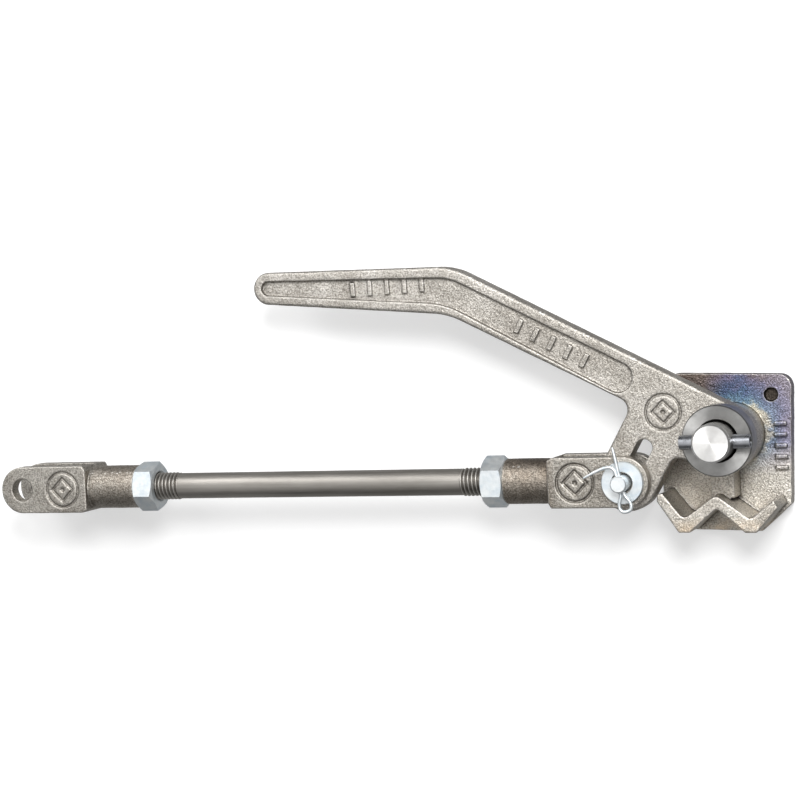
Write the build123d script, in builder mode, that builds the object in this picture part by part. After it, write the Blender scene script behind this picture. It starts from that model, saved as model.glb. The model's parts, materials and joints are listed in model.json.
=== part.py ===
"""Lever load binder: a cast lever on a cast foot plate, pulling a threaded rod with two fork ends.

Frame: millimetres, +Z up. The origin is on the main pin's axis, on the back face of the foot plate.
+X runs from the far fork towards the foot plate, and the rod lies parallel to X.
"""
from build123d import *
import math
import os

os.makedirs("parts", exist_ok=True)

# Stack along Z, from the back of the foot plate
plate_t = 8.0
boss_top = 22.0
w_top = 33.0
gap = 0.2
lever_t = 11.6
lever_z = boss_top + gap
lever_mid = lever_z + lever_t / 2
ring_z = lever_z + lever_t + gap
ring_t = 11.8
roll_z = 49.3
main_pin_top = 59.5

# Foot plate
plate_left, plate_right = -34.0, 27.5
plate_low, plate_high = -46.0, 28.5
boss_r = 15.0
rib_x, rib_w = -3.0, 11.0
rib_low, rib_high = -29.0, -10.0
foot_turn = -2.0
dimple_x, dimple_y, dimple_r, dimple_deep = 18.5, 18.2, 3.2, 2.0
plate_left_r, plate_right_r = 8.0, 6.0
w_x = -4.2
w_pitch = 15.7
w_inner_r, w_under_r = 3.0, 2.0
w_foot = 2.6

# Main pin, collar and spring pin
main_r = 9.0
main_fit = 0.08
press_fit = 0.02
ring_r, ring_bore_r = 16.5, 9.6
roll_r, roll_wall, roll_len, roll_slit = 3.3, 1.1, 32.6, 1.0
weld_leg = 3.0

# Lever
hub_r = 16.0
pin_x, pin_y = -46.0, -19.0
lobe_r = 14.6
slot_r = 4.0
slot_travel = 17.8
slot_angle = 60.2
tip_x, tip_y, tip_r = -224.6, 79.0, 8.0
recess_depth = 2.0
rim_r = 1.5
recess_tip_r = 3.6
recess_end_x, recess_end_y, recess_end_r = -48.5, 29.8, 7.3
bend_top_r, bend_low_r = 34.0, 40.0
notch_along, notch_r = 20.5, 4.0
elbow_along, elbow_r = 33.0, 6.0
recess_top_r, recess_low_r = 28.0, 40.0

# Fork ends
fork_z = 26.0
fork_h = 24.0
fork_gap = 12.4
fork_slot = 34.0
fork_step = 37.0
end_fork_len = 62.5
lever_fork_len = 60.3
barrel_r = 11.0
shoulder_long, shoulder_deep = 2.5, 1.4
slot_extra = 20.0
thread_bore_r = 7.05
lever_eye_r = 4.1
end_eye_r = 5.8
end_x = -366.3

# Rod and lock nuts, M14 x 2
rod_r = 6.5
crest_r, root_r, pitch = 6.95, 5.8, 2.0
nut_af, nut_h = 22.0, 11.0
nut_chamfer = 1.3
end_nut_turn = -11.0
face_gap = 0.1
thread_in = 24.5
right_runout, left_runout = -129.0, -280.5

# Clevis pin, washer and split pin
pin_r, pin_head_r, pin_head_t = 3.9, 6.5, 3.0
pin_top = 50.6
washer_r, washer_bore_r, washer_t = 10.0, 5.25, 2.0
wire_r = 0.6
split_z = 46.9
split_angle = 102.0
split_bore_r = 1.3

# Marks cast into the faces
lever_badge_r, fork_badge_r = 8.9, 9.5
badge_deep, badge_line = 0.9, 1.2
badge_dot_r, badge_inset = 1.1, 2.8
lever_badge = (-27.4, 12.9)
fork_badge_x = 23.5
mark_rows, mark_h = 5, 1.0
mark_w, mark_l, mark_pitch = 2.2, 7.0, 9.0
handle_marks = ((-180.0, 76.6), 1.5)
arm_marks = ((-96.0, 55.6), -29.0)
plate_marks = (22.5, 4.5)
plate_mark_w, plate_mark_l, plate_mark_pitch = 2.0, 5.6, 5.2


def save(name, shape):
    shape.label = name
    export_step(shape, f"parts/{name}.step")


def badge_grooves(badge_r):
    """Grooves of a plain cast mark, drawn into the current sketch: a ring, a diamond and a dot."""
    Circle(badge_r)
    Circle(badge_r - badge_line, mode=Mode.SUBTRACT)
    RegularPolygon(badge_r - badge_inset, 4)
    RegularPolygon(badge_r - badge_inset - 1.5 * badge_line, 4, mode=Mode.SUBTRACT)
    Circle(badge_dot_r)


def near(items, *points):
    """The vertices that lie closest to the given points."""
    return [min(items, key=lambda v: (Vector(*v) - Vector(*p)).length) for p in points]


# ---------------------------------------------------------------- foot plate
upper_w = [
    (-32.0, -25.8),
    (-29.6, -25.2),
    (w_x - w_pitch, -37.6),
    (w_x, -26.3),
    (w_x + w_pitch, -37.9),
    (22.5, -29.0),
]
lower_w = [
    (24.3, -32.6),
    (w_x + w_pitch + w_foot, -44.0),
    (w_x + w_pitch - w_foot, -44.0),
    (w_x, -32.5),
    (w_x - w_pitch + w_foot, -43.8),
    (w_x - w_pitch - w_foot, -43.8),
    (-32.4, -29.0),
]

turned = Plane.XY.rotated((0, 0, foot_turn))
with BuildPart() as base_plate:
    with BuildSketch(turned) as outline:
        with BuildLine():
            Polyline(
                (plate_left, plate_high),
                (plate_right, plate_high),
                (plate_right, -32.5),
                (13.5, plate_low),
                (-22.5, plate_low),
                (plate_left, -30.0),
                close=True,
            )
        make_face()
        top_left = turned.from_local_coords((plate_left, plate_high, 0))
        top_right = turned.from_local_coords((plate_right, plate_high, 0))
        fillet(near(outline.vertices(), top_left), plate_left_r)
        fillet(near(outline.vertices(), top_right), plate_right_r)
    extrude(amount=plate_t)
    with BuildSketch(Plane.XY.offset(plate_t)):
        Circle(boss_r)
    extrude(amount=boss_top - plate_t)
    with BuildSketch(Plane.XY.offset(plate_t)):
        with Locations((rib_x, (rib_low + rib_high) / 2)):
            Rectangle(rib_w, rib_high - rib_low)
    extrude(amount=boss_top - plate_t)
    with BuildSketch(Plane.XY.offset(plate_t)) as w_wall:
        with BuildLine():
            Polyline(*upper_w, *lower_w, close=True)
        make_face()
        inner_corners = [(*upper_w[place], plate_t) for place in (2, 3, 4)]
        fillet(near(w_wall.vertices(), *inner_corners), w_inner_r)
        fillet(near(w_wall.vertices(), (*lower_w[3], plate_t)), w_under_r)
    extrude(amount=w_top - plate_t)
    Hole(main_r + press_fit)
    with BuildSketch(Plane.XY.offset(plate_t - dimple_deep)):
        with Locations((dimple_x, dimple_y)):
            Circle(dimple_r)
    extrude(amount=dimple_deep, mode=Mode.SUBTRACT)
    with BuildSketch(Plane.XZ):
        with BuildLine():
            Polyline((0, 0), (main_r + weld_leg, 0), (main_r, weld_leg), (0, weld_leg), close=True)
        make_face()
    revolve(axis=Axis.Z, mode=Mode.SUBTRACT)
    for row in range(mark_rows):
        with BuildSketch(Plane.XY.offset(plate_t)):
            with Locations((plate_marks[0], plate_marks[1] - plate_mark_pitch * row)):
                Rectangle(plate_mark_l, plate_mark_w)
        extrude(amount=mark_h)
save("base_plate", base_plate.part)

with BuildPart() as pin_weld:
    with BuildSketch(Plane.XZ):
        with BuildLine():
            Polyline(
                (main_r + press_fit, 0.1),
                (main_r + weld_leg - 0.15, 0.1),
                (main_r + press_fit, weld_leg - 0.05),
                close=True,
            )
        make_face()
    revolve(axis=Axis.Z)
save("pin_weld", pin_weld.part)

# ---------------------------------------------------------------- main pin, collar, spring pin
with BuildPart() as main_pin:
    Cylinder(main_r, main_pin_top, align=(Align.CENTER, Align.CENTER, Align.MIN))
    chamfer(main_pin.faces().sort_by(Axis.Z)[-1].edges(), 0.9)
    with BuildSketch(Plane.YZ.offset(-main_r - 1)):
        with Locations((0, roll_z)):
            Circle(roll_r + press_fit)
    extrude(amount=2 * main_r + 2, mode=Mode.SUBTRACT)
save("main_pin", main_pin.part)

with BuildPart() as retaining_ring:
    with BuildSketch(Plane.XY.offset(ring_z)):
        Circle(ring_r)
        Circle(ring_bore_r, mode=Mode.SUBTRACT)
    extrude(amount=ring_t)
    chamfer(retaining_ring.edges().filter_by(GeomType.CIRCLE).group_by(Axis.Z)[-1], 0.5)
    chamfer(retaining_ring.edges().filter_by(GeomType.CIRCLE).group_by(Axis.Z)[0], 0.5)
save("retaining_ring", retaining_ring.part)

with BuildPart() as roll_pin:
    with BuildSketch(Plane.YZ.offset(-roll_len / 2)):
        with Locations((0, roll_z)):
            Circle(roll_r)
            Circle(roll_r - roll_wall, mode=Mode.SUBTRACT)
        with Locations((0, roll_z - roll_r + roll_wall / 2)):
            Rectangle(roll_slit, 2 * roll_wall, mode=Mode.SUBTRACT)
    extrude(amount=roll_len)
save("roll_pin", roll_pin.part)

# ---------------------------------------------------------------- lever
lobe_slope = math.radians(slot_angle)
slot_dir = Vector(math.cos(lobe_slope), math.sin(lobe_slope))
side = Vector(math.sin(lobe_slope), -math.cos(lobe_slope))
lobe_right = Vector(pin_x, pin_y) + side * lobe_r
lobe_left = Vector(pin_x, pin_y) - side * lobe_r
notch = lobe_right + slot_dir * notch_along
elbow = lobe_left + slot_dir * elbow_along
hub_top = (hub_r * math.cos(math.radians(61.5)), hub_r * math.sin(math.radians(61.5)))
bend_top = (-128.5, 85.6)
bend_low = (-131.5, 62.6)


def lever_face():
    """Outline of the lever: straight handle, bent arm, hub and slotted lobe."""
    with BuildSketch(Plane.XY.offset(lever_z)) as face:
        with BuildLine():
            Polyline(
                (tip_x, tip_y + tip_r),
                bend_top,
                hub_top,
                (0, 0),
                (-10.5, -12.0),
                (notch.X, notch.Y),
                (lobe_right.X, lobe_right.Y),
                (lobe_left.X, lobe_left.Y),
                (elbow.X, elbow.Y),
                bend_low,
                (tip_x, tip_y - tip_r),
                close=True,
            )
        make_face()
        Circle(hub_r)
        with Locations((pin_x, pin_y)):
            Circle(lobe_r)
        with Locations((tip_x, tip_y)):
            Circle(tip_r)
        fillet(near(face.vertices(), (*bend_top, lever_z)), bend_top_r)
        fillet(near(face.vertices(), (*bend_low, lever_z)), bend_low_r)
        fillet(near(face.vertices(), (elbow.X, elbow.Y, lever_z)), elbow_r)
        fillet(near(face.vertices(), (notch.X, notch.Y, lever_z)), notch_r)
    return face.sketch


def recess_face(height):
    """Long sunken panel of the handle, with round ends."""
    with BuildSketch(Plane.XY.offset(height)) as face:
        with BuildLine():
            Polyline(
                (tip_x, tip_y + recess_tip_r),
                (-130.0, 80.4),
                (recess_end_x + 3.5, recess_end_y + 6.4),
                (recess_end_x - 3.5, recess_end_y - 6.4),
                (-132.5, 67.6),
                (tip_x, tip_y - recess_tip_r),
                close=True,
            )
        make_face()
        with Locations((tip_x, tip_y)):
            Circle(recess_tip_r)
        with Locations((recess_end_x, recess_end_y)):
            Circle(recess_end_r)
        fillet(near(face.vertices(), (-130.0, 80.4, height)), recess_top_r)
        fillet(near(face.vertices(), (-132.5, 67.6, height)), recess_low_r)
    return face.sketch


with BuildPart() as lever:
    add(lever_face())
    extrude(amount=lever_t)
    fillet(lever.faces().filter_by(Axis.Z).edges(), rim_r)
    add(recess_face(lever_z + lever_t - recess_depth))
    extrude(amount=recess_depth, mode=Mode.SUBTRACT)
    add(recess_face(lever_z))
    extrude(amount=recess_depth, mode=Mode.SUBTRACT)
    with BuildSketch(Plane.XY.offset(lever_z)):
        Circle(main_r + main_fit)
        middle = Vector(pin_x, pin_y) + slot_dir * (slot_travel / 2)
        with Locations((middle.X, middle.Y)):
            SlotCenterToCenter(slot_travel, 2 * slot_r, rotation=slot_angle)
    extrude(amount=lever_t, mode=Mode.SUBTRACT)
    with BuildSketch(Plane.XY.offset(lever_z + lever_t - badge_deep)):
        with Locations(lever_badge):
            badge_grooves(lever_badge_r)
    extrude(amount=badge_deep, mode=Mode.SUBTRACT)
    for start, turn in (handle_marks, arm_marks):
        for row in range(mark_rows):
            spot = Vector(*start) + Vector(mark_pitch, 0).rotate(Axis.Z, turn) * row
            with BuildSketch(Plane.XY.offset(lever_z + lever_t - recess_depth)):
                with Locations(Location((spot.X, spot.Y), turn)):
                    Rectangle(mark_w, mark_l)
            extrude(amount=mark_h)
save("lever", lever.part)


# ---------------------------------------------------------------- fork ends
def fork(eye_x, towards, eye_r, fork_len):
    """Cast fork: two ears round a slot, then a round threaded barrel. towards is +1 or -1 along X."""
    hole = Plane(origin=(eye_x, pin_y, lever_mid), x_dir=(towards, 0, 0), z_dir=(0, 0, 1))
    with BuildPart() as body:
        with BuildSketch(hole.offset(-fork_z / 2)):
            Circle(fork_h / 2)
            with Locations((fork_step / 2, 0)):
                Rectangle(fork_step, fork_h)
        extrude(amount=fork_z)
        back_edges = body.faces().sort_by(Axis.X)[-1 if towards > 0 else 0].edges()
        chamfer(back_edges.filter_by(Axis.Z), shoulder_long, shoulder_deep)
        with BuildSketch(Plane(origin=hole.origin + hole.x_dir * (fork_step - 1), z_dir=hole.x_dir)):
            Circle(barrel_r)
        extrude(amount=fork_len - fork_step + 1)
        with BuildSketch(hole.offset(-fork_gap / 2)):
            with Locations(((fork_slot - slot_extra) / 2, 0)):
                Rectangle(fork_slot + slot_extra, fork_h + 2)
        extrude(amount=fork_gap, mode=Mode.SUBTRACT)
        with BuildSketch(hole.offset(-fork_z / 2)):
            Circle(eye_r)
        extrude(amount=fork_z, mode=Mode.SUBTRACT)
        with BuildSketch(Plane(origin=hole.origin + hole.x_dir * (fork_len - thread_in), z_dir=hole.x_dir)):
            Circle(thread_bore_r)
        extrude(amount=thread_in, mode=Mode.SUBTRACT)
        for side_z in (-fork_z / 2, fork_z / 2 - badge_deep):
            with BuildSketch(hole.offset(side_z)):
                with Locations((fork_badge_x, 0)):
                    badge_grooves(fork_badge_r)
            extrude(amount=badge_deep, mode=Mode.SUBTRACT)
    return body.part


save("lever_clevis", fork(pin_x, -1, lever_eye_r, lever_fork_len))
save("end_clevis", fork(end_x, 1, end_eye_r, end_fork_len))

# ---------------------------------------------------------------- rod and lock nuts
rod_left = end_x + end_fork_len - thread_in + 0.5
rod_right = pin_x - lever_fork_len + thread_in - 0.5


def thread_profile(start, stop):
    """Crests and roots of a thread between two places along X, as radius points."""
    turns = int((stop - start) / pitch)
    points = []
    for turn in range(turns):
        x = start + turn * pitch
        points += [
            (x + 0.15 * pitch, root_r),
            (x + 0.45 * pitch, crest_r),
            (x + 0.55 * pitch, crest_r),
            (x + 0.85 * pitch, root_r),
        ]
    return points


with BuildPart() as tie_rod:
    with BuildSketch(Plane(origin=(0, pin_y, lever_mid), x_dir=(1, 0, 0), z_dir=(0, -1, 0))):
        with BuildLine():
            Polyline(
                (rod_left, 0),
                (rod_left, root_r - 0.4),
                *thread_profile(rod_left, left_runout),
                (left_runout, rod_r),
                (right_runout, rod_r),
                *thread_profile(right_runout, rod_right),
                (rod_right, root_r - 0.4),
                (rod_right, 0),
                close=True,
            )
        make_face()
    revolve(axis=Axis((0, pin_y, lever_mid), (1, 0, 0)))
save("tie_rod", tie_rod.part)


def lock_nut(start, turn):
    """Hexagon nut, M14, chamfered on both faces. Its bore stands clear of the rod's crests."""
    with BuildPart() as nut:
        with BuildSketch(Plane(origin=(start, pin_y, lever_mid), z_dir=(1, 0, 0))):
            RegularPolygon(nut_af / 2, 6, major_radius=False, rotation=30 + turn)
        extrude(amount=nut_h)
        corner_r = nut_af / math.sqrt(3)
        with BuildSketch(Plane(origin=(start, pin_y, lever_mid), x_dir=(1, 0, 0), z_dir=(0, -1, 0))):
            with BuildLine():
                Polyline(
                    (0, 0),
                    (0, nut_af / 2 - 0.4),
                    (nut_chamfer, corner_r + 0.3),
                    (nut_h - nut_chamfer, corner_r + 0.3),
                    (nut_h, nut_af / 2 - 0.4),
                    (nut_h, 0),
                    close=True,
                )
            make_face()
        revolve(axis=Axis((0, pin_y, lever_mid), (1, 0, 0)), mode=Mode.INTERSECT)
        with BuildSketch(Plane(origin=(start, pin_y, lever_mid), z_dir=(1, 0, 0))):
            Circle(thread_bore_r)
        extrude(amount=nut_h, mode=Mode.SUBTRACT)
        circles = nut.edges().filter_by(GeomType.CIRCLE)
        chamfer(circles.filter_by(lambda e: abs(e.radius - thread_bore_r) < 0.01), 0.9)
    return nut.part


save("lever_locknut", lock_nut(pin_x - lever_fork_len - face_gap - nut_h, 0))
save("end_locknut", lock_nut(end_x + end_fork_len + face_gap, end_nut_turn))

# ---------------------------------------------------------------- clevis pin, washer, split pin
ear_front = lever_mid + fork_z / 2
ear_back = lever_mid - fork_z / 2
along = Vector(math.cos(math.radians(split_angle)), math.sin(math.radians(split_angle)))
across = Vector(along.Y, -along.X)
pin_centre = Vector(pin_x, pin_y, split_z)

with BuildPart() as clevis_pin:
    with BuildSketch(Plane(origin=(pin_x, pin_y, ear_back - pin_head_t - gap))):
        Circle(pin_head_r)
    extrude(amount=pin_head_t)
    with BuildSketch(Plane(origin=(pin_x, pin_y, ear_back - pin_head_t - gap))):
        Circle(pin_r)
    extrude(amount=pin_top - ear_back + pin_head_t + gap)
    chamfer(clevis_pin.faces().sort_by(Axis.Z)[-1].edges(), 0.5)
    chamfer(clevis_pin.faces().sort_by(Axis.Z)[0].edges(), 0.6)
    with BuildSketch(Plane(origin=pin_centre - along * 10, z_dir=along)):
        Circle(split_bore_r)
    extrude(amount=20, mode=Mode.SUBTRACT)
save("clevis_pin", clevis_pin.part)

with BuildPart() as clevis_washer:
    with BuildSketch(Plane(origin=(pin_x, pin_y, ear_front + gap))):
        Circle(washer_r)
        Circle(washer_bore_r, mode=Mode.SUBTRACT)
    extrude(amount=washer_t)
    top_circles = clevis_washer.edges().filter_by(GeomType.CIRCLE).group_by(Axis.Z)[-1]
    chamfer(top_circles.sort_by(SortBy.RADIUS)[-1], 0.3)
save("clevis_washer", clevis_washer.part)

# Places along the pin's cross hole and across it: straight leg, eye, then the leg that is bent aside
split_route = [
    (17.0, 0.9),
    (5.2, 0.64),
    (-5.0, 0.64),
    (-9.0, 2.9),
    (-12.8, 2.0),
    (-12.8, -2.0),
    (-9.0, -2.9),
    (-5.0, -0.64),
    (5.2, -0.64),
    (8.2, -4.6),
    (6.4, -16.4),
]
split_radii = [8, 4, 1.6, 1.3, 1.3, 1.6, 4, 2.2, 2.6]
with BuildPart() as split_pin:
    with BuildLine() as wire:
        FilletPolyline(*[pin_centre + along * a + across * b for a, b in split_route], radius=split_radii)
    with BuildSketch(Plane(origin=wire.line @ 0, z_dir=wire.line % 0)):
        Circle(wire_r)
    sweep()
save("split_pin", split_pin.part)
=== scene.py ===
"""Looks of the lever load binder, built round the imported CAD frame. Metres, the CAD's own frame."""
import json
import math

import bpy
from mathutils import Matrix, Vector, noise


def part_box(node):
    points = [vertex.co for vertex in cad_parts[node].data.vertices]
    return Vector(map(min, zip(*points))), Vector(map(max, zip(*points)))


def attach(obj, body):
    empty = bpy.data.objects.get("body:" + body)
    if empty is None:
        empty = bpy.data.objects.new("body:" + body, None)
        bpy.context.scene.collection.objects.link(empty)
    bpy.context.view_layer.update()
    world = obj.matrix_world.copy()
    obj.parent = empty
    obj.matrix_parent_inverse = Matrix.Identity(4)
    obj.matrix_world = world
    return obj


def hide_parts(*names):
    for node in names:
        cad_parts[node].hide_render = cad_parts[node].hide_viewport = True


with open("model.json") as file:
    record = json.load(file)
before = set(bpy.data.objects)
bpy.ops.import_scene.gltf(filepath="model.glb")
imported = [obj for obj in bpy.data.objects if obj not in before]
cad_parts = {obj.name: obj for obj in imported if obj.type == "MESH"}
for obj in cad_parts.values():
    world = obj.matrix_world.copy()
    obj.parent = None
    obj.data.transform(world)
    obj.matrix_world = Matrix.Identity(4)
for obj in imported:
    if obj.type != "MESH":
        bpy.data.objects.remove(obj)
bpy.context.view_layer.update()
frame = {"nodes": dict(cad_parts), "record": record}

MM = 0.001


def middle(node):
    """The centre of a CAD node's box at rest."""
    low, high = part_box(node)
    return (low + high) / 2


# ---------------------------------------------------------------- node helpers
class Graph:
    """Short ways to build a material's nodes."""

    def __init__(self, name):
        self.mat = bpy.data.materials.new(name)
        self.mat.use_nodes = True
        self.tree = self.mat.node_tree
        self.shader = self.tree.nodes["Principled BSDF"]
        self.coords = self.add("ShaderNodeTexCoord").outputs["Object"]

    def add(self, kind, **values):
        node = self.tree.nodes.new(kind)
        for key, value in values.items():
            setattr(node, key, value)
        return node

    def link(self, out, into):
        self.tree.links.new(out, into)

    def noise(self, scale, detail=4.0, rough=0.55, stretch=None):
        node = self.add("ShaderNodeTexNoise")
        node.inputs["Scale"].default_value = scale
        node.inputs["Detail"].default_value = detail
        node.inputs["Roughness"].default_value = rough
        self.link(self.stretched(stretch), node.inputs["Vector"])
        return node.outputs["Fac"]

    def stretched(self, stretch):
        if stretch is None:
            return self.coords
        node = self.add("ShaderNodeMapping")
        node.inputs["Scale"].default_value = stretch
        self.link(self.coords, node.inputs["Vector"])
        return node.outputs["Vector"]

    def ramp(self, fac, *stops):
        node = self.add("ShaderNodeValToRGB")
        stops = list(stops)
        while len(node.color_ramp.elements) < len(stops):
            node.color_ramp.elements.new(0.5)
        for element, (place, colour) in zip(node.color_ramp.elements, stops):
            element.position = place
            element.color = (*colour, 1.0) if len(colour) == 3 else colour
        self.link(fac, node.inputs["Fac"])
        return node.outputs["Color"]

    def span(self, value, low, high, start=0.0, end=1.0):
        node = self.add("ShaderNodeMapRange")
        limits = {"From Min": low, "From Max": high, "To Min": start, "To Max": end}
        for key, number in limits.items():
            node.inputs[key].default_value = number
        self.link(value, node.inputs["Value"])
        return node.outputs["Result"]

    def mix(self, fac, one, two, how="MIX"):
        node = self.add("ShaderNodeMix", data_type="RGBA", blend_type=how)
        for key, value in ((0, fac), (6, one), (7, two)):
            if isinstance(value, (float, int)):
                node.inputs[key].default_value = value
            elif isinstance(value, tuple):
                node.inputs[key].default_value = (*value, 1.0)
            else:
                self.link(value, node.inputs[key])
        return node.outputs[2]

    def maths(self, how, one, two=0.0):
        node = self.add("ShaderNodeMath", operation=how)
        for socket, value in zip(node.inputs, (one, two)):
            if isinstance(value, (float, int)):
                socket.default_value = value
            else:
                self.link(value, socket)
        return node.outputs[0]

    def distance(self, point):
        node = self.add("ShaderNodeVectorMath", operation="DISTANCE")
        self.link(self.coords, node.inputs[0])
        node.inputs[1].default_value = point
        return node.outputs["Value"]

    def hollow(self, reach):
        """1 on open faces, falling to 0 in creases of this piece alone."""
        node = self.add("ShaderNodeAmbientOcclusion", only_local=True, samples=8)
        node.inputs["Distance"].default_value = reach
        return node.outputs["AO"]

    def axis(self, name):
        node = self.add("ShaderNodeSeparateXYZ")
        self.link(self.coords, node.inputs[0])
        return node.outputs[name]

    def pointiness(self):
        return self.add("ShaderNodeNewGeometry").outputs["Pointiness"]

    def bump(self, height, strength, depth, below=None):
        node = self.add("ShaderNodeBump")
        node.inputs["Strength"].default_value = strength
        node.inputs["Distance"].default_value = depth
        self.link(height, node.inputs["Height"])
        if below is not None:
            self.link(below, node.inputs["Normal"])
        return node.outputs["Normal"]

    def finish(self, colour, rough, normal=None, metallic=1.0):
        if isinstance(colour, tuple):
            self.shader.inputs["Base Color"].default_value = (*colour, 1.0)
        else:
            self.link(colour, self.shader.inputs["Base Color"])
        if isinstance(rough, float):
            self.shader.inputs["Roughness"].default_value = rough
        else:
            self.link(rough, self.shader.inputs["Roughness"])
        self.shader.inputs["Metallic"].default_value = metallic
        if normal is not None:
            self.link(normal, self.shader.inputs["Normal"])
        return self.mat


# ---------------------------------------------------------------- materials
# Near black painted into creases, thread roots and the dimple as painted shade.
PAINTED_SHADE = (0.045, 0.038, 0.032)


def cast_grain(g):
    """Blasted grain over soft waviness, as left by the sand mould."""
    wavy = g.bump(g.noise(300, 3), 0.45, 0.0006)
    grain = g.bump(g.noise(1150, 4, 0.65), 0.75, 0.0004, wavy)
    return g.bump(g.noise(2600, 2, 0.6), 0.5, 0.0002, grain)


def specks(g, low):
    """Small dark pits, a little under a millimetre across."""
    clean = (0.56, (1.0, 1.0, 1.0))
    small = g.ramp(g.noise(1250, 2, 0.6), (0.40, (low, low * 0.97, low * 0.92)), clean)
    fine = g.ramp(g.noise(2400, 2, 0.6), (0.38, (low, low, low)), clean)
    return g.mix(0.5, small, fine, "MULTIPLY")


def cast_colour(g, dark, mid, light, pits=0.42):
    """Mottled steel: tone by large noise, pits by small noise."""
    patch = g.ramp(g.noise(45, 5), (0.3, dark), (0.52, mid), (0.75, light))
    return g.mix(0.8, patch, specks(g, pits), "MULTIPLY")


def wear_and_shade(g, colour, bright, reach=0.0028):
    """Bare metal where an edge stands out, painted shade where faces meet in a crease."""
    rubbed = g.mix(g.maths("MULTIPLY", g.span(g.pointiness(), 0.51, 0.58), 0.7), colour, bright)
    # Painted shade: darkened towards near black where the piece's own faces close in round a crease.
    crease_shade = g.span(g.hollow(reach), 0.88, 0.50, 0.0, 0.92)
    return g.mix(crease_shade, rubbed, PAINTED_SHADE)


def cast_steel():
    """The lever's casting."""
    g = Graph("cast_steel")
    colour = cast_colour(g, (0.43, 0.40, 0.36), (0.57, 0.54, 0.495), (0.69, 0.66, 0.62))
    rough = g.span(g.noise(700, 4), 0.3, 0.7, 0.40, 0.60)
    return g.finish(wear_and_shade(g, colour, (0.86, 0.84, 0.80)), rough, cast_grain(g))


def cast_fork():
    """The forks' casting: paler on the far fork, browner where the barrels were heated."""
    g = Graph("cast_fork")
    grey = cast_colour(g, (0.34, 0.315, 0.28), (0.47, 0.44, 0.395), (0.59, 0.565, 0.52))
    brown = cast_colour(g, (0.17, 0.14, 0.11), (0.30, 0.25, 0.20), (0.48, 0.42, 0.355))
    pale = cast_colour(g, (0.43, 0.40, 0.36), (0.58, 0.55, 0.50), (0.70, 0.67, 0.62))
    along = g.axis("X")
    lever_side = g.span(along, -0.150, -0.120)  # 0 on the far fork, 1 on the lever's fork
    grey = g.mix(lever_side, pale, grey)
    barrel = g.span(along, -0.079, -0.084)
    far_barrel = g.maths("MULTIPLY", g.span(along, -0.331, -0.327), 0.70)
    heated = g.mix(lever_side, far_barrel, barrel)
    patchy = g.span(g.noise(60, 4), 0.35, 0.65, 0.45, 1.0)
    colour = g.mix(g.maths("MULTIPLY", heated, patchy), grey, brown)
    rough = g.span(g.noise(500, 4), 0.3, 0.7, 0.36, 0.56)
    return g.finish(wear_and_shade(g, colour, (0.78, 0.75, 0.70)), rough, cast_grain(g))


def cast_plate():
    """Foot plate with temper colours round the boss: straw, blue, violet, then brown."""
    g = Graph("cast_plate")
    steel = cast_colour(g, (0.50, 0.46, 0.40), (0.68, 0.64, 0.58), (0.82, 0.79, 0.73))
    sand = g.mix(g.span(g.noise(90, 4), 0.42, 0.62), steel, (0.60, 0.47, 0.33))
    below_w = g.span(g.axis("Y"), -0.036, -0.042)
    steel = g.mix(g.maths("MULTIPLY", below_w, 0.6), steel, sand)
    uneven = g.noise(70, 5, 0.65)
    boss_foot = (0.0, 0.0, 0.008)
    reach = g.maths("ADD", g.distance(boss_foot), g.span(uneven, 0.3, 0.7, -0.005, 0.005))
    temper = g.ramp(
        g.span(reach, 0.014, 0.042),
        (0.00, (0.78, 0.70, 0.52)),
        (0.09, (0.62, 0.60, 0.48)),
        (0.18, (0.13, 0.24, 0.35)),
        (0.34, (0.07, 0.115, 0.23)),
        (0.52, (0.145, 0.13, 0.22)),
        (0.66, (0.15, 0.11, 0.11)),
        (0.90, (0.17, 0.125, 0.095)),
    )
    wavering = g.maths("ADD", g.axis("X"), g.span(uneven, 0.3, 0.7, -0.006, 0.006))
    browner = g.span(wavering, -0.001, -0.013)
    temper = g.mix(g.maths("MULTIPLY", browner, 0.9), temper, (0.165, 0.125, 0.105))
    paler = g.span(g.axis("X"), 0.006, 0.026, 0.0, 0.55)
    temper = g.mix(paler, temper, (0.40, 0.385, 0.50))
    temper = g.mix(0.85, temper, specks(g, 0.35), "MULTIPLY")
    upper = g.span(g.axis("Y"), -0.020, -0.004)
    flat = g.span(g.axis("Z"), 0.0125, 0.0095)
    colour = g.mix(g.maths("MULTIPLY", g.maths("MULTIPLY", upper, flat), 0.95), steel, temper)
    rough = g.span(g.noise(700, 4), 0.3, 0.7, 0.36, 0.54)
    dimple_centre, dimple_rim, dimple_side = (0.0185, 0.0182, 0.0), 0.0036, 0.0031
    spot = g.add("ShaderNodeVectorMath", operation="DISTANCE")
    g.link(g.stretched((1.0, 1.0, 0.0)), spot.inputs[0])
    spot.inputs[1].default_value = dimple_centre
    in_dimple = g.span(spot.outputs["Value"], dimple_rim, dimple_side)
    # Painted shade: the dimple's inside is painted near black, standing in for shade in the recess as
    # well as its dark tint.
    colour = g.mix(in_dimple, wear_and_shade(g, colour, (0.80, 0.77, 0.72)), PAINTED_SHADE)
    return g.finish(colour, rough, cast_grain(g))


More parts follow.
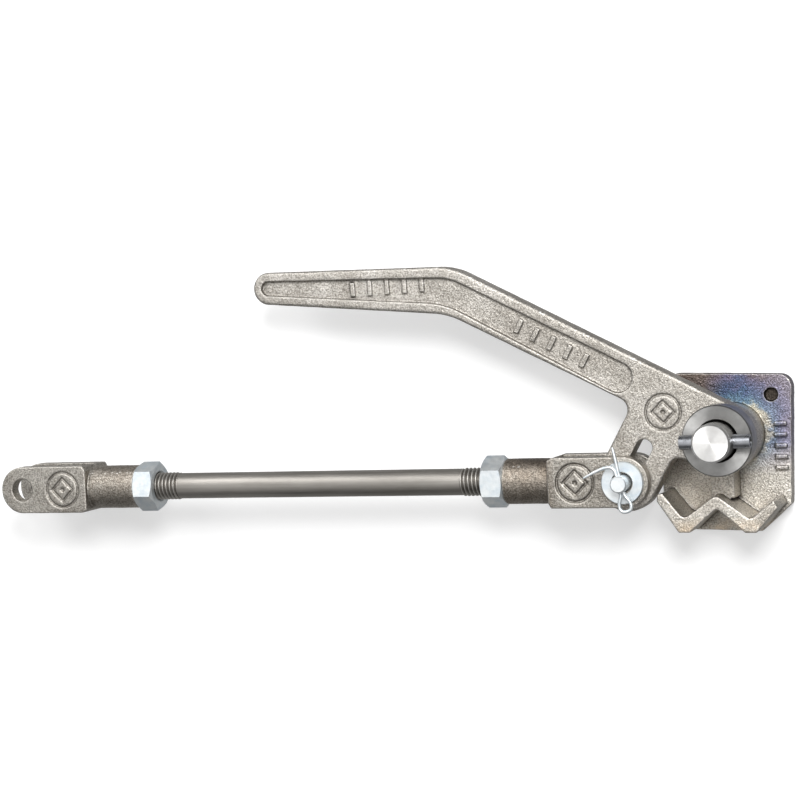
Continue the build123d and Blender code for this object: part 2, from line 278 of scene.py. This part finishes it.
def turned_steel():
    """Turned collar and pin: fine rings round the axis, which draw highlights out into fans. The pin
    carries painted light: a painted highlight on its top end, painted shade down its side.
    """
    g = Graph("turned_steel")
    ring_waves, collar_bore, pin_edge = 26000.0, 0.0096, 0.0092
    radius = g.add("ShaderNodeVectorMath", operation="LENGTH")
    g.link(g.stretched((1.0, 1.0, 0.0)), radius.inputs[0])
    rings = g.maths("SINE", g.maths("MULTIPLY", radius.outputs["Value"], ring_waves))
    pin_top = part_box("main_pin")[1].z
    # Painted light on the pin: near white on its top end as a painted highlight, near black down its
    # side as painted shade.
    painted_lit_top = g.span(g.axis("Z"), pin_top - 0.0016, pin_top - 0.0008)
    on_pin = g.span(radius.outputs["Value"], collar_bore, pin_edge)
    collar = g.ramp(g.noise(140, 4), (0.3, (0.24, 0.237, 0.23)), (0.7, (0.36, 0.357, 0.35)))
    painted_highlight_end = g.ramp(g.noise(300, 4), (0.3, (0.82, 0.81, 0.79)), (0.7, (0.92, 0.915, 0.90)))
    painted_shade_side = (0.15, 0.147, 0.14)
    colour = g.mix(on_pin, collar, g.mix(painted_lit_top, painted_shade_side, painted_highlight_end))
    collar_rough = g.span(g.noise(300, 3), 0.3, 0.7, 0.36, 0.50)
    pin_rough = g.span(g.noise(300, 3), 0.3, 0.7, 0.40, 0.5)
    rough = g.mix(on_pin, collar_rough, pin_rough)
    g.shader.inputs["Anisotropic"].default_value = 0.7
    tangent = g.add("ShaderNodeTangent", direction_type="RADIAL", axis="Z")
    g.link(tangent.outputs["Tangent"], g.shader.inputs["Tangent"])
    normal = g.bump(rings, 0.3, 0.000006)
    return g.finish(colour, rough, g.bump(g.noise(900, 3), 0.2, 0.0001, normal))


def spring_steel():
    """Dark rolled strip with a soft shine."""
    g = Graph("spring_steel")
    colour = g.ramp(g.noise(150, 4), (0.3, (0.30, 0.31, 0.33)), (0.7, (0.46, 0.47, 0.50)))
    rough = g.span(g.noise(600, 3), 0.3, 0.7, 0.24, 0.38)
    return g.finish(colour, rough, g.bump(g.noise(1200, 3, stretch=(0.1, 1.0, 1.0)), 0.2, 0.0001))


def rod_steel():
    """Drawn bar: dull, with fine lines along it and darker mill scale in patches."""
    g = Graph("rod_steel")
    lines = g.noise(900, 4, 0.6, (0.03, 1.0, 1.0))
    scale = g.noise(70, 5, 0.6, (0.25, 1.0, 1.0))
    base = g.ramp(scale, (0.3, (0.24, 0.225, 0.205)), (0.7, (0.40, 0.38, 0.355)))
    streaks = g.ramp(lines, (0.3, (0.6, 0.58, 0.55)), (0.7, (1.0, 1.0, 1.0)))
    colour = g.mix(0.4, base, streaks, "MULTIPLY")
    crest = g.span(g.pointiness(), 0.50, 0.56)
    # Painted shade: the thread roots are darkened towards near black.
    root = g.span(g.pointiness(), 0.50, 0.43, 0.0, 0.9)
    colour = g.mix(root, g.mix(g.maths("MULTIPLY", crest, 0.6), colour, (0.66, 0.64, 0.60)), PAINTED_SHADE)
    rough = g.span(lines, 0.3, 0.7, 0.42, 0.56)
    normal = g.bump(lines, 0.25, 0.00012)
    return g.finish(colour, rough, g.bump(g.noise(1400, 4, 0.7), 0.2, 0.00012, normal))


def zinc():
    """Bright zinc plate with a faint blue cast and soft spangle."""
    g = Graph("zinc")
    colour = g.ramp(
        g.noise(170, 5, 0.6),
        (0.3, (0.62, 0.69, 0.74)),
        (0.5, (0.74, 0.78, 0.80)),
        (0.7, (0.84, 0.86, 0.86)),
    )
    rough = g.span(g.noise(420, 4), 0.3, 0.7, 0.46, 0.60)
    normal = g.bump(g.noise(240, 3), 0.35, 0.0004)
    return g.finish(colour, rough, g.bump(g.noise(1600, 4, 0.7), 0.18, 0.0001, normal))


def weld_metal():
    """Dull weld bead, straw coloured in places."""
    g = Graph("weld_metal")
    colour = g.ramp(
        g.noise(200, 5),
        (0.3, (0.16, 0.14, 0.12)),
        (0.6, (0.34, 0.31, 0.28)),
        (0.8, (0.42, 0.34, 0.27)),
    )
    rough = g.span(g.noise(500, 4), 0.3, 0.7, 0.45, 0.65)
    return g.finish(colour, rough, g.bump(g.noise(400, 4), 0.5, 0.0004))


MATERIALS = {
    "cast_plate": cast_plate(),
    "cast_steel": cast_steel(),
    "cast_fork": cast_fork(),
    "turned_steel": turned_steel(),
    "spring_steel": spring_steel(),
    "rod_steel": rod_steel(),
    "zinc": zinc(),
    "weld": weld_metal(),
}
SLOT_OF = {s["node"]: s["material_slot"] for s in frame["record"]["subparts"]}
BODY_OF = {n: b for b, nodes in frame["record"]["behaviour"]["bodies"].items() for n in nodes}


def dress(obj, slot):
    obj.data.materials.clear()
    obj.data.materials.append(MATERIALS[slot])


def stand_for(piece, node):
    """Makes a finished piece take a CAD node's place, body and slot."""
    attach(piece, BODY_OF[node])
    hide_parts(node)
    dress(piece, SLOT_OF[node])


# ---------------------------------------------------------------- cast pieces
def apply_modifiers(obj):
    bpy.context.view_layer.update()
    evaluated = obj.evaluated_get(bpy.context.evaluated_depsgraph_get())
    mesh = bpy.data.meshes.new_from_object(evaluated)
    obj.modifiers.clear()
    obj.data = mesh


def cast_copy(node, name, voxel, rounds, rough_mm, seed):
    """A casting's skin: the CAD shape with its edges rounded and its surface made uneven."""
    piece = bpy.data.objects.new(name, frame["nodes"][node].data.copy())
    bpy.context.scene.collection.objects.link(piece)
    grid = piece.modifiers.new("grid", "REMESH")
    grid.mode = "VOXEL"
    grid.voxel_size = voxel * MM
    soften = piece.modifiers.new("soften", "SMOOTH")
    soften.factor = 0.5
    soften.iterations = rounds
    apply_modifiers(piece)
    shift = Vector((seed * 3.1, seed * 1.7, seed * 0.9))
    mesh = piece.data
    normals = [v.normal.copy() for v in mesh.vertices]
    for vertex, normal in zip(mesh.vertices, normals):
        place = vertex.co / MM
        wave = noise.noise(place * 0.16 + shift) * 0.9 + noise.noise(place * 0.9 + shift) * 0.45
        vertex.co += normal * (wave * rough_mm - 0.02) * MM
    mesh.polygons.foreach_set("use_smooth", [True] * len(mesh.polygons))
    stand_for(piece, node)
    return piece


def cast_pieces():
    """Millimetres, except the number of smoothing rounds and the seed."""
    voxel = 0.42
    fork_voxel = voxel * 0.85
    rounds = 3
    cast_copy("lever", "lever_casting", voxel, rounds, 0.10, 1)
    cast_copy("base_plate", "foot_casting", voxel, rounds, 0.10, 2)
    cast_copy("lever_clevis", "lever_fork_casting", fork_voxel, rounds, 0.09, 3)
    cast_copy("end_clevis", "end_fork_casting", fork_voxel, rounds, 0.09, 4)


cast_pieces()


# ---------------------------------------------------------------- rod with helical threads
def new_mesh_piece(name, points, faces):
    mesh = bpy.data.meshes.new(name)
    mesh.from_pydata(points, [], faces)
    mesh.polygons.foreach_set("use_smooth", [True] * len(mesh.polygons))
    piece = bpy.data.objects.new(name, mesh)
    bpy.context.scene.collection.objects.link(piece)
    return piece


def thread_height(turn):
    """Height of a rounded thread, 0 at the root and 1 at the crest, over one turn."""
    rise = abs((turn % 1.0) - 0.5) * 2
    return min(1.0, max(0.0, 1.25 - 1.5 * rise))


def threaded_rod():
    """Plain bar with a helical thread at each end. Millimetres until a point is placed."""
    low, high = (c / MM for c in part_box("tie_rod"))
    centre = middle("tie_rod")
    pitch, plain_r, root_r, crest_r, fade = 2.0, 6.5, 5.75, 6.93, 1.2
    end_chamfer, end_drop, plain_step = 1.2, 0.9, 6.0
    around = 56
    step = 0.16
    left_end, right_start = -280.5, -129.0
    stations = []
    x = low.x
    while x < high.x:
        stations.append(x)
        threaded = x < left_end + 1 or x >= right_start - 1
        x += step if threaded else plain_step
        if stations[-1] < right_start - 1 < x:
            x = right_start - 1
    stations.append(high.x)
    points, faces = [], []
    for x in stations:
        depth = min(1.0, max(0.0, max(left_end - x, x - right_start) / fade))
        end_cut = min(1.0, min(x - low.x, high.x - x) / end_chamfer)
        for k in range(around):
            angle = 2 * math.pi * k / around
            thread = root_r + (crest_r - root_r) * thread_height(x / pitch - k / around)
            radius = (plain_r + (thread - plain_r) * depth - end_drop * (1.0 - end_cut)) * MM
            y = centre.y + radius * math.cos(angle)
            z = centre.z + radius * math.sin(angle)
            points.append((x * MM, y, z))
    for ring in range(len(stations) - 1):
        for k in range(around):
            one, two = ring * around + k, ring * around + (k + 1) % around
            faces.append((one, two, two + around, one + around))
    faces.append(tuple(range(around - 1, -1, -1)))
    faces.append(tuple(range((len(stations) - 1) * around, len(stations) * around)))
    rod = new_mesh_piece("threaded_rod", points, faces)
    stand_for(rod, "tie_rod")


threaded_rod()


# ---------------------------------------------------------------- split pin
def split_wire():
    """Bent wire: straight leg, teardrop eye, then the leg that is arched aside and thins to its tip."""
    wire_r = 0.85
    turn = math.radians(102.0)
    along = Vector((math.cos(turn), math.sin(turn), 0))
    across = Vector((along.y, -along.x, 0))
    pin = middle("clevis_pin")
    centre = Vector((pin.x, pin.y, middle("split_pin").z))
    # millimetres along the pin's hole, millimetres across it, and share of the wire's radius
    route = [
        (17.3, 0.7, 0.62), (14.0, 0.8, 0.95), (9.0, 0.7, 1.0), (5.0, 0.64, 1.0), (-4.4, 0.64, 1.0),
        (-6.6, 1.3, 1.0), (-9.0, 2.7, 1.0), (-11.6, 3.0, 1.0), (-13.3, 1.6, 1.0), (-13.3, -1.6, 1.0),
        (-11.6, -3.0, 1.0), (-9.0, -2.7, 1.0), (-6.6, -1.3, 1.0), (-4.4, -0.64, 1.0), (4.6, -0.64, 1.0),
        (6.8, -0.9, 1.0), (8.6, -2.4, 1.0), (8.9, -5.4, 0.95), (8.2, -9.6, 0.9), (7.2, -13.4, 0.8),
        (6.4, -16.4, 0.5),
    ]
    curve = bpy.data.curves.new("split_wire", "CURVE")
    curve.dimensions = "3D"
    curve.bevel_depth = wire_r * MM
    curve.bevel_resolution = 4
    curve.use_fill_caps = True
    spline = curve.splines.new("NURBS")
    spline.points.add(len(route) - 1)
    for point, (a, b, thick) in zip(spline.points, route):
        point.co = (*(centre + (along * a + across * b) * MM), 1.0)
        point.radius = thick
    spline.order_u = 3
    spline.use_endpoint_u = True
    spline.resolution_u = 8
    maker = bpy.data.objects.new("split_maker", curve)
    bpy.context.scene.collection.objects.link(maker)
    bpy.context.view_layer.update()
    mesh = bpy.data.meshes.new_from_object(maker.evaluated_get(bpy.context.evaluated_depsgraph_get()))
    bpy.data.objects.remove(maker)
    mesh.polygons.foreach_set("use_smooth", [True] * len(mesh.polygons))
    wire = bpy.data.objects.new("split_wire", mesh)
    bpy.context.scene.collection.objects.link(wire)
    stand_for(wire, "split_pin")


split_wire()


# ---------------------------------------------------------------- kept CAD nodes
def keep(node):
    """Leaves a CAD node's mesh as it is and gives it its material."""
    obj = frame["nodes"][node]
    dress(obj, SLOT_OF[node])


KEPT = (
    "main_pin",
    "retaining_ring",
    "roll_pin",
    "pin_weld",
    "clevis_pin",
    "clevis_washer",
    "lever_locknut",
    "end_locknut",
)
for kept in KEPT:
    keep(kept)


# ---------------------------------------------------------------- stage, light, camera
def floor_paper():
    """White paper that glows a little, so that shadows on it stay soft."""
    g = Graph("floor")
    g.shader.inputs["Emission Color"].default_value = (1.0, 1.0, 1.0, 1.0)
    g.shader.inputs["Emission Strength"].default_value = 0.45
    return g.finish((0.60, 0.60, 0.60), 0.95, None, 0.0)


def studio():
    """Floor, sky and two soft lamps. The floor is hidden from bounced light and reflections."""
    size = 12.0
    corners = [(-size, -size, 0), (size, -size, 0), (size, size, 0), (-size, size, 0)]
    mesh = bpy.data.meshes.new("floor")
    mesh.from_pydata(corners, [], [(0, 1, 2, 3)])
    floor = bpy.data.objects.new("floor", mesh)
    floor.location = (-0.15, 0, -0.001)
    bpy.context.scene.collection.objects.link(floor)
    floor.data.materials.append(floor_paper())
    floor.visible_diffuse = False
    floor.visible_glossy = False
    sky()
    lit_point = Vector((-0.15, 0.0, 0.02))
    for name, place, width, power in (
        ("key", (0.22, 0.52, 0.90), 0.42, 12.0),
        ("back", (-0.70, 0.62, 0.55), 0.45, 4.0),
    ):
        light = bpy.data.lights.new(name, "AREA")
        light.size = width
        light.energy = power
        lamp = bpy.data.objects.new(name, light)
        lamp.location = place
        aim = lit_point - lamp.location
        lamp.rotation_euler = aim.to_track_quat("-Z", "Y").to_euler()
        bpy.context.scene.collection.objects.link(lamp)


def sky():
    """Bright ceiling, dark walls and grey ground, so that faces read by which way they point."""
    world = bpy.data.worlds.new("studio")
    world.use_nodes = True
    tree = world.node_tree
    direction = tree.nodes.new("ShaderNodeTexCoord").outputs["Generated"]
    split = tree.nodes.new("ShaderNodeSeparateXYZ")
    ramp = tree.nodes.new("ShaderNodeValToRGB")
    ground, horizon = 0.40, 0.5
    stops = (
        (0.0, ground),
        (horizon - 0.02, ground),
        (horizon, 0.04),
        (0.725, 0.10),
        (0.875, 0.45),
        (0.96, 0.90),
        (1.0, 1.0),
    )
    while len(ramp.color_ramp.elements) < len(stops):
        ramp.color_ramp.elements.new(0.5)
    for element, (place, tone) in zip(ramp.color_ramp.elements, stops):
        element.position = place
        element.color = (tone, tone, tone, 1.0)
    tree.links.new(direction, split.inputs[0])
    lean = tree.nodes.new("ShaderNodeMath")
    lean.operation = "MULTIPLY_ADD"
    lean.inputs[1].default_value = -0.10
    tree.links.new(split.outputs["X"], lean.inputs[0])
    tree.links.new(split.outputs["Z"], lean.inputs[2])
    height = tree.nodes.new("ShaderNodeMath")
    height.operation = "MULTIPLY_ADD"
    height.inputs[1].default_value = 0.5
    height.inputs[2].default_value = horizon
    tree.links.new(lean.outputs[0], height.inputs[0])
    tree.links.new(height.outputs[0], ramp.inputs["Fac"])
    tree.links.new(ramp.outputs["Color"], tree.nodes["Background"].inputs["Color"])
    tree.nodes["Background"].inputs["Strength"].default_value = 0.98
    bpy.context.scene.world = world


def grade():
    """Plain display colours, so that a white floor comes out white."""
    bpy.context.scene.view_settings.view_transform = "Standard"


def camera():
    """The photograph's viewing angle, with a slight roll."""
    eye = Vector((0.2122, 0.0845, 1.020))
    target = Vector((-0.1590, 0.0218, 0.030))
    data = bpy.data.cameras.new("camera")
    data.sensor_width = 36.0
    data.lens = 97.6
    obj = bpy.data.objects.new("camera", data)
    forward = (target - eye).normalized()
    roll = math.radians(-2.86)
    right = forward.cross(Vector((0, 1, 0))).normalized()
    up = right.cross(forward)
    turned_right = right * math.cos(roll) + up * math.sin(roll)
    turned_up = up * math.cos(roll) - right * math.sin(roll)
    basis = Matrix((turned_right, turned_up, -forward)).transposed()
    obj.matrix_world = Matrix.Translation(eye) @ basis.to_4x4()
    bpy.context.scene.collection.objects.link(obj)
    bpy.context.scene.camera = obj


studio()
grade()
camera()
